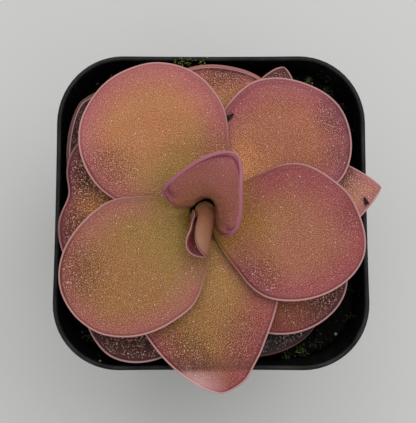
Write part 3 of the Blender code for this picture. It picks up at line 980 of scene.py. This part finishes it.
def pot_profile():
    """(half, height) from the middle of the inner floor over the lip to the middle of the underside."""
    inner = pot_half(FLOOR) - WALL
    wall_starts = FLOOR + 2 * FLOOR_ROUND
    profile = [(inner * share, FLOOR) for share in (0.25, 0.5, 0.75, 0.93)]
    profile += [(inner - FLOOR_ROUND, FLOOR), (inner - FLOOR_ROUND / 4, FLOOR + FLOOR_ROUND / 2)]
    profile += [(inner, wall_starts)]
    lip_round = (LIP_HALF - MOUTH_HALF) / 2
    lip_middle, lip_level = (LIP_HALF + MOUTH_HALF) / 2, POT_HEIGHT - lip_round
    for step in range(1, 11):
        z = wall_starts + (lip_level - wall_starts) * step / 10
        profile.append((pot_half(z) - WALL if step < 10 else MOUTH_HALF, z))
    for step in range(1, 10):
        angle = math.pi * (1 - step / 10)
        profile.append((lip_middle + lip_round * math.cos(angle), lip_level + lip_round * math.sin(angle)))
    skirt = POT_HEIGHT - LIP_HEIGHT
    neck = skirt - NECK_ROUND
    profile += [(LIP_HALF, lip_level), (LIP_HALF, (lip_level + skirt) / 2), (LIP_HALF, skirt + SKIRT_ROUND)]
    profile += [(LIP_HALF - SKIRT_BEVEL, skirt + SKIRT_BEVEL), (LIP_HALF - SKIRT_ROUND, skirt)]
    profile += [(pot_half(skirt) + NECK_ROUND, skirt), (pot_half(skirt), neck)]
    for step in range(1, 12):
        z = neck - (neck - FOOT_ROUND) * step / 11
        profile.append((pot_half(z), z))
    for step in range(1, 5):
        angle = math.pi / 2 * step / 4
        foot = pot_half(FOOT_ROUND) - FOOT_ROUND * (1 - math.cos(angle))
        profile.append((foot, FOOT_ROUND * (1 - math.sin(angle))))
    return profile + [(pot_half(0) * share, 0.0) for share in (0.93, 0.75, 0.5, 0.25)]


def ringed(name, first, rings, last, material):
    """A closed body put in the scene: a point, rings of equally many points, and a point."""
    points = out_of_square(np.vstack([[first], *rings, [last]]))
    faces = outwards(points, ring_faces(len(rings), len(rings[0])))
    places = round_map(faces, len(rings), len(rings[0]))
    return put_in_scene(name, points, faces, material, None, places)


def make_pot(material):
    """The pot's shell, with its drain holes cut."""
    rings = [
        round_square(half, max(z, 0.0), *POT_STEPS, BOW if z > FLOOR else 0.0) for half, z in pot_profile()
    ]
    pot = ringed("pot_shell", [0, 0, FLOOR], rings, [0, 0, 0], material)
    turns = 2 * np.pi * np.arange(DRAIN_STEPS) / DRAIN_STEPS
    cutters = []
    for x, y in [(x, y) for x in (-DRAIN_OFFSET, DRAIN_OFFSET) for y in (-DRAIN_OFFSET, DRAIN_OFFSET)]:
        ring = np.stack([x + DRAIN_RADIUS * np.cos(turns), y + DRAIN_RADIUS * np.sin(turns)], 1)
        loops = [np.column_stack([ring, np.full(DRAIN_STEPS, z)]) for z in (-FLOOR, 2 * FLOOR)]
        hole = np.vstack([[[x, y, -FLOOR]], *loops, [[x, y, 2 * FLOOR]]])
        faces = outwards(hole, ring_faces(2, DRAIN_STEPS))
        cutters.append(put_in_scene("drain_cutter", hole, faces, material))
    for cutter in cutters:
        cut = pot.modifiers.new("drain", "BOOLEAN")
        cut.object = cutter
        cut.solver = "EXACT"
    bpy.context.view_layer.update()
    graph = bpy.context.evaluated_depsgraph_get()
    mesh = bpy.data.meshes.new_from_object(pot.evaluated_get(graph))
    pot.modifiers.clear()
    pot.data = mesh
    for cutter in cutters:
        bpy.data.objects.remove(cutter)
    mesh.set_sharp_from_angle(angle=math.radians(SHARP_FROM))
    return belongs(pot, "pot")


def leaf_over(x, y, shade):
    """The point of the lowest leaf over a place of the ground, if there is one."""
    return shade.ray_cast(Vector((x, y, LEAVES_FROM)), UP)[0]


def ground_at(x, y, ground):
    """The point of the ground at a place."""
    return ground.ray_cast(Vector((x, y, GROUND_UNDER)), -UP)[0]


def make_soil(material, shade):
    """Granular ground: low lumps and grains that stay clear of the leaves lying over them."""
    edge = round_square(soil_half(SOIL_TOP) - SOIL_INSET, SOIL_TOP, *SOIL_STEPS)
    angle = np.arctan2(edge[:, 1], edge[:, 0] - PLANT_AXIS[0])
    hole = np.column_stack([
        PLANT_AXIS[0] + HOLE_RADIUS * np.cos(angle), HOLE_RADIUS * np.sin(angle), np.full(len(edge), SOIL_TOP)
    ])
    deep = SOIL_TOP - HOLE_DEPTH
    rings = [hole * [1, 1, 0] + [0, 0, deep], hole - [0, 0, HOLE_ROUND]]
    for k in range(SOIL_RINGS + 1):
        share = (k / SOIL_RINGS) ** RINGS_CROWD
        ring = hole + (edge - hole) * share
        for point in ring:
            point[2] += soil_lift(point, share)
            above = leaf_over(point[0], point[1], shade)
            if above is not None:
                point[2] = min(point[2], above.z - SOIL_CLEAR)
        rings.append(ring)
    for z, drawn_in in SOIL_SIDE:
        rings.append(round_square(soil_half(z) - drawn_in, z, *SOIL_STEPS))
    for share in (0.7, 0.5):
        rings.append(rings[-1] * [share, share, 1])
    soil = ringed("soil_bed", [*PLANT_AXIS, deep], rings, [0, 0, SOIL_BOTTOM], material)
    return belongs(soil, "growing_medium")


def soil_lift(point, share):
    """How far the ground stands out at a point, that share of the way from the crown to the wall."""
    place = Vector((point[0], point[1], 0)) * 1000
    lumps = noise.noise(place * 0.16) * 0.0006
    grains = noise.noise(place * 0.9 + Vector((7, 3, 0))) * 0.00035 + noise.noise(place * 2.1) * 0.0002
    bank = BANK * float(smooth(0.72, 0.98, share))
    return (lumps + grains) * float(smooth(0.0, 0.5, share)) - 0.0001 + bank


def template(subdivisions):
    """Points and faces of a ball of unit radius made of triangles."""
    ball = bmesh.new()
    bmesh.ops.create_icosphere(ball, subdivisions=subdivisions, radius=1.0)
    points = np.array([v.co[:] for v in ball.verts])
    faces = [[v.index for v in f.verts] for f in ball.faces]
    ball.free()
    return points, faces


def random_turns(rng, count):
    """Random rotation matrices."""
    turned, _ = np.linalg.qr(rng.normal(size=(count, 3, 3)))
    turned[np.linalg.det(turned) < 0] *= -1
    return turned


def lump(rng, ball, flattest, rough):
    """A ball made uneven: each axis keeps at least the share flattest of its length."""
    return ball * rng.uniform(flattest, 1.0, 3) * (1 + rng.normal(0, rough, (len(ball), 1)))


def put_grains(name, grains, tints, pale, material):
    """Angular grains as one piece. A tint and a 0 or 1 for pale ones go with each grain."""
    points, faces = joined(grains)
    counts = [len(these) for these, _ in grains]
    values = {"tint": np.repeat(tints, counts), "pale": np.repeat(np.array(pale, float), counts)}
    piece = put_in_scene(name, points, faces, material, values, rounded=False)
    return belongs(piece)


# Loose grains on the ground: count, roundness, least and most size, and share of pale ones
CRUMBS = ((1900, 1, 0.00018, 0.00042, 0.05), (260, 2, 0.0004, 0.00085, 0.03))
CRUMBS_FROM_AXIS = 0.008

# Grains: how flat they may be, how rough they are, how far up the middle is and the room above, in their size
CRUMB_SHAPE = (0.55, 0.10)
GRAIN_SHAPE = (0.7, 0.08)
CRUMB_STANDS = 0.35
GRAIN_STANDS = 0.4
CRUMB_ROOM = 2.2


def make_crumbs(material, ground, shade):
    """Loose grains on the ground: many dark crumbs of bark and peat, a few pale ones."""
    rng = np.random.default_rng(CRUMB_SEED)
    limit = soil_half(SOIL_TOP)
    grains, tints, pale = [], [], []
    for count, subdivisions, least, most, pale_share in CRUMBS:
        ball, faces = template(subdivisions)
        for turn in random_turns(rng, count):
            x, y = rng.uniform(-limit, limit, 2)
            size = rng.uniform(least, most)
            shape = lump(rng, ball, *CRUMB_SHAPE)
            is_pale, tint = rng.random() < pale_share, rng.random()
            if not inside_pot(x, y, limit - size) or np.hypot(x - PLANT_AXIS[0], y) < CRUMBS_FROM_AXIS:
                continue
            down, above = ground_at(x, y, ground), leaf_over(x, y, shade)
            if down is None or (above is not None and above.z - down.z < CRUMB_ROOM * size + SOIL_CLEAR):
                continue
            grains.append((shape @ turn.T * size + [x, y, down.z + CRUMB_STANDS * size], faces))
            tints.append(tint)
            pale.append(is_pale)
    return put_grains("soil_crumbs", grains, tints, pale, material)


def inside_pot(x, y, half):
    """Whether a place is inside a round square of that half width with the inner wall's corners."""
    radius = CORNER_RADIUS - WALL - GAP
    over = np.maximum(np.abs([x, y]) - (half - radius), 0)
    return np.hypot(*over) < radius


STRAND_SIDES = 4


def strand(start, way, length, radius, droop, rings=5):
    """A thin tapering blade or hair that starts at a point, leaves along way and droops by its end."""
    start, way = Vector(start), Vector(way).normalized()
    across = way.cross(UP)
    across = across.normalized() if across.length > 1e-6 else Vector((1, 0, 0))
    flat = across.cross(way).normalized()
    sides = [2 * math.pi * k / STRAND_SIDES for k in range(STRAND_SIDES)]
    loops = []
    for k in range(rings):
        share = k / rings
        middle = start + way * length * share - UP * droop * length * share**2
        thick = radius * (1 - 0.8 * share**1.5)
        loops.append([
            (middle + across * thick * math.cos(side) + flat * 0.5 * thick * math.sin(side))[:]
            for side in sides
        ])
    tip = start + way * length - UP * droop * length
    points = np.vstack([[start[:]], *loops, [tip[:]]])
    return points, outwards(points, ring_faces(rings, STRAND_SIDES))


def join_strands(name, strands, tints, material):
    points, faces = joined(strands)
    tint = np.repeat(tints, [len(these) for these, _ in strands])
    return belongs(put_in_scene(name, points, faces, material, {"tint": tint}))


# The photograph's width and height in pixels. Places on it are found again on the surface that shows there.
PICTURE = (416, 423)

# Moss: across, down, spread in pixels, strands, length in metres, tint from dark to yellow-green
MOSS = (
    (180, 63, 5, 24, 0.0010, 1.0), (190, 63, 5, 20, 0.0009, 0.95), (201, 62.5, 5, 20, 0.0009, 1.0),
    (186, 65, 4, 14, 0.0010, 0.8), (111, 75, 2, 8, 0.0010, 0.9), (98, 84, 2, 5, 0.0010, 0.5),
    (301, 350, 6, 34, 0.0017, 0.55), (287, 355, 6, 30, 0.0015, 0.6), (315, 343, 6, 18, 0.0015, 0.35),
    (330, 90, 9, 55, 0.0009, 0.30), (340, 108, 9, 60, 0.0009, 0.28), (349, 130, 6, 34, 0.0008, 0.26),
    (326, 78, 6, 12, 0.0015, 0.25), (352, 318, 6, 16, 0.0016, 0.25), (92, 338, 7, 18, 0.0016, 0.25),
    (84, 318, 5, 10, 0.0014, 0.2), (104, 352, 6, 14, 0.0014, 0.3), (352, 290, 4, 8, 0.0014, 0.2),
)
MOSS_THICK = (0.00006, 0.00011)
MOSS_LENGTHS = (0.6, 1.1)
MOSS_TILTS = (0.3, 1.1)
MOSS_DROOPS = (0, 0.5)
MOSS_TINTS = 0.15
MOSS_SINKS = 0.0001
MOSS_UP_TO = POT_HEIGHT + 0.0005

# The star of moss at the back: its place, and its rays' number, length, thickness, height and tints
STAR = (308, 81)
STAR_RAYS = 9
STAR_LENGTH = 0.0014
STAR_THICK = 0.00011
STAR_STANDS = 0.0006
STAR_TINTS = (0.45, 0.65)

# Pale grains: across, down, size in metres
GRAINS = ((335.5, 334, 0.0004), (100, 361, 0.0003), (362, 96, 0.0003), (97, 84, 0.00025), (343, 104, 0.0002))

# Gnats: across, down, heading in degrees, how many times the usual size
GNATS = ((230.5, 116.5, 40, 1.3), (365.5, 200.5, 110, 1.1))

# Peat hairs: how many, least and most length, thickness
FIBRES = 150
FIBRE_LENGTHS = (0.0009, 0.0028)
FIBRE_THICK = 0.00005
FIBRE_STANDS = 0.0002
FIBRES_FROM_WALL = 0.002
LEAF_CLOSE = 0.003


def seen_at(across, down, surface):
    """The point of a surface that shows at a pixel, and the way it faces."""
    pixels = CAMERA_LENS / SENSOR * PICTURE[1]
    tilt = math.radians(CAMERA_TILT)
    ahead = Vector((0, math.sin(tilt), -math.cos(tilt)))
    up = Vector((0, math.cos(tilt), math.sin(tilt)))
    way = ahead * pixels + Vector((1, 0, 0)) * (across - PICTURE[0] / 2) - up * (down - PICTURE[1] / 2)
    point, normal, _, _ = surface.ray_cast(Vector(CAMERA_PLACE), way.normalized())
    if point is not None and normal.z < 0:
        normal = -normal
    return point, normal


def make_moss(material, everything):
    """Tufts of short strands on the lip and the ground, and one star."""
    rng = np.random.default_rng(MOSS_SEED)
    strands, tints = [], []
    for across, down, spread, count, length, tint in MOSS:
        for _ in range(count):
            aside, below = rng.normal(0, spread * 0.5), rng.normal(0, spread * 0.4)
            place, _ = seen_at(across + aside, down + below, everything)
            turn, tilt = rng.uniform(0, 2 * np.pi), rng.uniform(*MOSS_TILTS)
            way = (math.cos(turn) * math.sin(tilt), math.sin(turn) * math.sin(tilt), math.cos(tilt))
            long, thick = length * rng.uniform(*MOSS_LENGTHS), rng.uniform(*MOSS_THICK)
            droop = rng.uniform(*MOSS_DROOPS)
            if place is not None and place.z < MOSS_UP_TO:
                strands.append(strand(place - UP * MOSS_SINKS, way, long, thick, droop))
                tints.append(np.clip(tint + rng.normal(0, MOSS_TINTS), 0, 1))
    place, _ = seen_at(*STAR, everything)
    for k in range(STAR_RAYS):
        turn = 2 * math.pi * (k + rng.uniform(-0.2, 0.2)) / STAR_RAYS
        way = (math.cos(turn), math.sin(turn), rng.uniform(0.25, 0.6))
        strands.append(strand(place + UP * STAR_STANDS, way, STAR_LENGTH, STAR_THICK, 0.15))
        tints.append(rng.choice(STAR_TINTS))
    return join_strands("moss", strands, tints, material)


def make_fibres(material, ground, shade):
    """Short peat hairs lying on the ground."""
    rng = np.random.default_rng(FIBRE_SEED)
    limit = soil_half(SOIL_TOP) - FIBRES_FROM_WALL
    strands, tints = [], []
    while len(strands) < FIBRES:
        x, y = rng.uniform(-limit, limit, 2)
        turn, long = rng.uniform(0, 2 * np.pi), rng.uniform(*FIBRE_LENGTHS)
        lift, tint = rng.uniform(0.0, 0.35), rng.random()
        ends = [(x, y), (x + long * math.cos(turn), y + long * math.sin(turn))]
        if any(not inside_pot(*end, limit) or covered(*end, shade) for end in ends):
            continue
        start = ground_at(x, y, ground) + UP * FIBRE_STANDS
        strands.append(strand(start, (math.cos(turn), math.sin(turn), lift), long, FIBRE_THICK, 0.1))
        tints.append(tint)
    return join_strands("peat_fibres", strands, tints, material)


def covered(x, y, shade):
    """Whether a leaf lies close above the ground here."""
    above = leaf_over(x, y, shade)
    return above is not None and above.z < SOIL_TOP + LEAF_CLOSE


def make_grains(material, everything):
    """The few pale grains that stand out."""
    rng = np.random.default_rng(GRAIN_SEED)
    ball, faces = template(2)
    grains = []
    for across, down, size in GRAINS:
        place, _ = seen_at(across, down, everything)
        if place is not None:
            shape = lump(rng, ball, *GRAIN_SHAPE)
            grains.append((shape * size + [place.x, place.y, place.z + GRAIN_STANDS * size], faces))
    count = len(grains)
    return put_grains("pale_grains", grains, [0.6] * count, [1] * count, material)


# A gnat's head, thorax and abdomen: middle and half sizes along, aside and up
GNAT_PARTS = (
    ((0.00055, 0, 0.00030), (0.00015, 0.00016, 0.00014)),
    ((0.00022, 0, 0.00034), (0.00026, 0.00020, 0.00022)),
    ((-0.00038, 0.00003, 0.00026), (0.00045, 0.00015, 0.00014)),
)
LEG_LENGTH = 0.0009
LEG_THICK = 0.000028
WING_ROOT = (0.0001, 0, 0.00046)
WING_MIDDLE = 0.00058
WING_HALVES = (0.00062, 0.00024, 0.000012)


def make_gnat(number, across, down, turn, size, surface, material, wing_material):
    """A small dead gnat lying on a leaf: head, thorax, abdomen, two wings, six legs."""
    rng = np.random.default_rng(GNAT_SEED + number)
    place, normal = seen_at(across, down, surface)
    ahead = Vector((*heading(turn), 0))
    ahead = (ahead - normal * ahead.dot(normal)).normalized()
    axes = np.array([ahead[:], normal.cross(ahead)[:], normal[:]]) * size
    origin = np.array(place[:])
    ball, faces = template(2)
    parts = [((ball * reach + middle) @ axes + origin, faces) for middle, reach in GNAT_PARTS]
    for leg in range(6):
        hand, row = 1 if leg % 2 else -1, leg // 2 - 1
        way = np.array([row * 0.7 + rng.uniform(-0.25, 0.25), hand, -0.35]) @ axes
        start = np.array([0.0002 + 0.0001 * row, hand * 0.00012, 0.00022]) @ axes + origin
        parts.append(strand(start, way, LEG_LENGTH * size, LEG_THICK, 0.0, 4))
    body = put_in_scene(f"gnat_{number}_body", *joined(parts), material)
    belongs(body)
    wings = []
    long, wide, thick = WING_HALVES
    for hand in (-1, 1):
        spread = math.radians(158 + 10 * rng.random())
        way = np.array([math.cos(spread), hand * math.sin(spread), 0.10])
        across_wing = np.array([-way[1], way[0], 0.0])
        local = ball[:, :1] * way * long + ball[:, 1:2] * across_wing * wide + ball[:, 2:] * [0, 0, thick]
        wings.append(((local + way * WING_MIDDLE + WING_ROOT) @ axes + origin, faces))
    pair = put_in_scene(f"gnat_{number}_wings", *joined(wings), wing_material)
    belongs(pair)


def pot_material():
    """Black plastic, a little dusty, with fine scuffs and faint lime streaks down its sides."""
    n = Nodes("black_plastic")
    film = n.ramp(n.noise(0.012, 5.0, 0.6), (0.45, 0.0), (0.75, 1.0))
    stretched = n.new("Mapping", Vector=n.place, Scale=(1.0, 1.0, 0.12)).outputs[0]
    streaks = n.ramp(n.noise(0.0022, 4.0, 0.6, stretched), (0.58, 0.0), (0.78, 1.0))
    scuffs = n.ramp(n.noise(0.0006, 4.0, 0.7, stretched), (0.60, 0.0), (0.72, 1.0))
    colour = n.mix(film, (0.0042, 0.0042, 0.0045), (0.0095, 0.0092, 0.0088))
    colour = n.mix(n.times(streaks, 0.10), colour, (0.13, 0.125, 0.115))
    colour = n.mix(n.times(scuffs, 0.12), colour, (0.07, 0.07, 0.07))
    # Paler grey in patches along the lip's crest
    crest = n.ramp(n.times(n.axes()[2], 1 / CREST_SCALE), (0.9965, 0.0), (0.9992, 1.0))
    crest_grey = n.times(crest, n.ramp(n.noise(0.004, 4.0), (0.3, 0.25), (0.7, 1.0)))
    colour = n.mix(n.times(crest_grey, 0.34), colour, (0.09, 0.09, 0.088))
    gloss = n.plus(0.26, n.times(film, 0.16))
    gloss = n.plus(gloss, n.times(scuffs, 0.15))
    relief = n.bump(n.noise(0.00045, 3.0), 0.00002, 0.35)
    relief = n.bump(n.noise(0.009, 2.0), 0.00020, 0.35, relief)
    return n.finish(Base_Color=colour, Roughness=gloss, Normal=relief, Specular_IOR_Level=0.075)


def soil_material():
    """Near black peat with a few lighter specks."""
    n = Nodes("peat")
    coarse = n.noise(0.0016, 5.0, 0.65)
    fine = n.cells(0.00045)
    colour = n.ramp(
        coarse, (0.25, (0.0016, 0.0013, 0.0011)), (0.55, (0.0030, 0.0023, 0.0018)),
        (0.8, (0.009, 0.0065, 0.0045)),
    )
    speck = n.ramp(n.cells(0.0011), (0.0, 1.0), (0.12, 0.0))
    colour = n.mix(n.times(speck, 0.35), colour, (0.09, 0.08, 0.065))
    relief = n.bump(n.plus(coarse, n.times(fine, 0.5)), 0.0005, 0.9)
    return n.finish(Base_Color=colour, Roughness=0.78, Normal=relief, Specular_IOR_Level=0.06)


def crumb_material():
    """Bark and peat, and pale grains among them."""
    n = Nodes("peat_crumbs")
    grain = n.noise(0.0004, 4.0, 0.6)
    dark = n.ramp(
        n.value("tint"), (0.0, (0.0018, 0.0015, 0.0012)), (0.6, (0.007, 0.005, 0.0038)),
        (0.85, (0.022, 0.017, 0.012)), (1.0, (0.070, 0.058, 0.044)),
    )
    pale = n.mix(grain, (0.20, 0.18, 0.15), (0.42, 0.40, 0.36))
    colour = n.mix(n.times(grain, 0.6), n.mix(n.value("pale"), dark, pale), (0.004, 0.003, 0.002))
    relief = n.bump(grain, 0.0001, 0.8)
    return n.finish(Base_Color=colour, Roughness=0.72, Normal=relief, Specular_IOR_Level=0.2)


def strand_material(name, roughness, cloud, *stops):
    """Moss or peat hairs, clouded, whose colour runs with each strand's tint."""
    n = Nodes(name)
    colour = n.ramp(n.value("tint"), *stops)
    grain = n.noise(0.0003, 3.0)
    colour = n.mix(n.times(grain, 0.5), colour, cloud)
    return n.finish(Base_Color=colour, Roughness=roughness, Normal=n.bump(grain, 0.00003, 0.5))


def moss_material():
    return strand_material(
        "moss_green", 0.5, (0.02, 0.03, 0.008), (0.0, (0.018, 0.018, 0.015)), (0.3, (0.060, 0.066, 0.045)),
        (0.6, (0.085, 0.120, 0.024)), (1.0, (0.46, 0.54, 0.075)),
    )


def fibre_material():
    return strand_material(
        "peat_fibre", 0.7, (0.01, 0.008, 0.006), (0.0, (0.006, 0.0045, 0.003)), (0.7, (0.03, 0.022, 0.015)),
        (1.0, (0.12, 0.10, 0.08)),
    )


CROWN_SPAN = 0.008
GNAT_SHEEN = 0.12


def crown_material():
    """The crown shows as the foot of the rolled leaf, in its colour, with painted shade towards its back."""
    look = LOOKS[0]
    n = Nodes("crown_skin")
    # Painted shade: the crown's back darkens to a deep russet
    behind = n.ramp(n.plus(n.times(n.axes()[1], 1 / CROWN_SPAN), 0.5), (0.68, 0.0), (0.88, 0.8))
    skin = n.mix(n.noise(0.0012, 4.0), warm(look.back, 0.9 * look.light), warm(look.back, 0.7 * look.light))
    colour = n.mix(behind, skin, warm(RUSSET, 0.25))
    return n.finish(Base_Color=colour, Roughness=0.5, Normal=n.bump(n.noise(0.0006, 4.0), 0.0001, 0.4))


def gnat_materials():
    """The body's shell and the veined wings, both dark."""
    n = Nodes("gnat_shell")
    colour = n.mix(n.noise(0.0002, 3.0), (0.002, 0.0015, 0.001), (0.007, 0.004, 0.003))
    body = n.finish(Base_Color=colour, Roughness=0.5, Specular_IOR_Level=GNAT_SHEEN)
    n = Nodes("gnat_wing")
    veins = n.ramp(n.cells(0.00025, "DISTANCE_TO_EDGE"), (0.0, 1.0), (0.1, 0.0))
    colour = n.mix(veins, (0.012, 0.008, 0.006), (0.005, 0.003, 0.003))
    return body, n.finish(Base_Color=colour, Roughness=0.5, Specular_IOR_Level=GNAT_SHEEN)


# Lights: name, place, size, power
LIGHTS = (("window", (0.15, 0.47, 0.75), (1.2, 0.8), 4.4), ("fill", (0.45, -0.20, 0.75), (0.8, 0.8), 0.6))
LIGHTS_AIM = (0, 0, 0.06)
ROOM_LIGHT = 0.58
FLOOR_HALF = 2.5


def set_stage():
    """A pale paper floor."""
    n = Nodes("floor_paper")
    colour = n.mix(n.noise(0.05, 4.0), tone(208, 208, 207), tone(212, 212, 210))
    paper = n.finish(Base_Color=colour, Roughness=0.85, Normal=n.bump(n.noise(0.0006, 3.0), 0.00003, 0.3))
    points = FLOOR_HALF * np.array([(-1, -1, 0), (1, -1, 0), (1, 1, 0), (-1, 1, 0)])
    floor = put_in_scene("floor", points, [(0, 1, 2, 3)], paper)


def add_light(name, place, size, power):
    data = bpy.data.lights.new(name, "AREA")
    data.shape = "RECTANGLE"
    data.size, data.size_y = size
    data.energy = power
    lamp = put(name, data)
    lamp.location = place
    lamp.rotation_euler = (Vector(LIGHTS_AIM) - Vector(place)).to_track_quat("-Z", "Y").to_euler()


def set_lights():
    """A window behind, a weak fill at the right and even light from the room."""
    world = bpy.data.worlds.new("soft_room")
    world.use_nodes = True
    background = world.node_tree.nodes["Background"]
    background.inputs["Color"].default_value = (1.0, 1.0, 1.0, 1.0)
    background.inputs["Strength"].default_value = ROOM_LIGHT
    bpy.context.scene.world = world
    for light in LIGHTS:
        add_light(*light)


def set_camera():
    data = bpy.data.cameras.new("camera")
    data.sensor_width = SENSOR
    data.lens = CAMERA_LENS
    data.clip_start = 0.01
    camera = put("camera", data)
    camera.location = CAMERA_PLACE
    camera.rotation_euler = (math.radians(CAMERA_TILT), 0.0, 0.0)
    bpy.context.scene.camera = camera


def make_plant():
    """All the leaves. Returns them and the surface that they make together."""
    materials = [leaf_material(order) for order in range(len(LEAVES))]
    made = [make_blade(order, materials[order]) for order in range(len(LEAVES))]
    pieces = [belongs(piece, LEAVES[order].name) for order, (_, piece) in enumerate(made)]
    shade = surface_of(pieces)
    for order, (blade, _) in enumerate(made):
        belongs(make_glands(order, blade, materials[order], shade))
    return pieces, shade


def make_pot_and_soil(leaves, shade):
    """Everything else: the pot, what fills it, what lies on it, and the crown's look."""
    pot = make_pot(pot_material())
    soil = make_soil(soil_material(), shade)
    ground = surface_of([soil])
    everything = surface_of([*leaves, soil, pot])
    grit = crumb_material()
    make_crumbs(grit, ground, shade)
    make_grains(grit, everything)
    make_fibres(fibre_material(), ground, shade)
    make_moss(moss_material(), everything)
    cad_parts["crown_and_root"].data.materials[0] = crown_material()
    materials = gnat_materials()
    for number, gnat in enumerate(GNATS, 1):
        make_gnat(number, *gnat, shade, *materials)


bpy.context.scene.view_settings.view_transform = "Standard"
set_stage()
set_lights()
set_camera()
make_pot_and_soil(*make_plant())
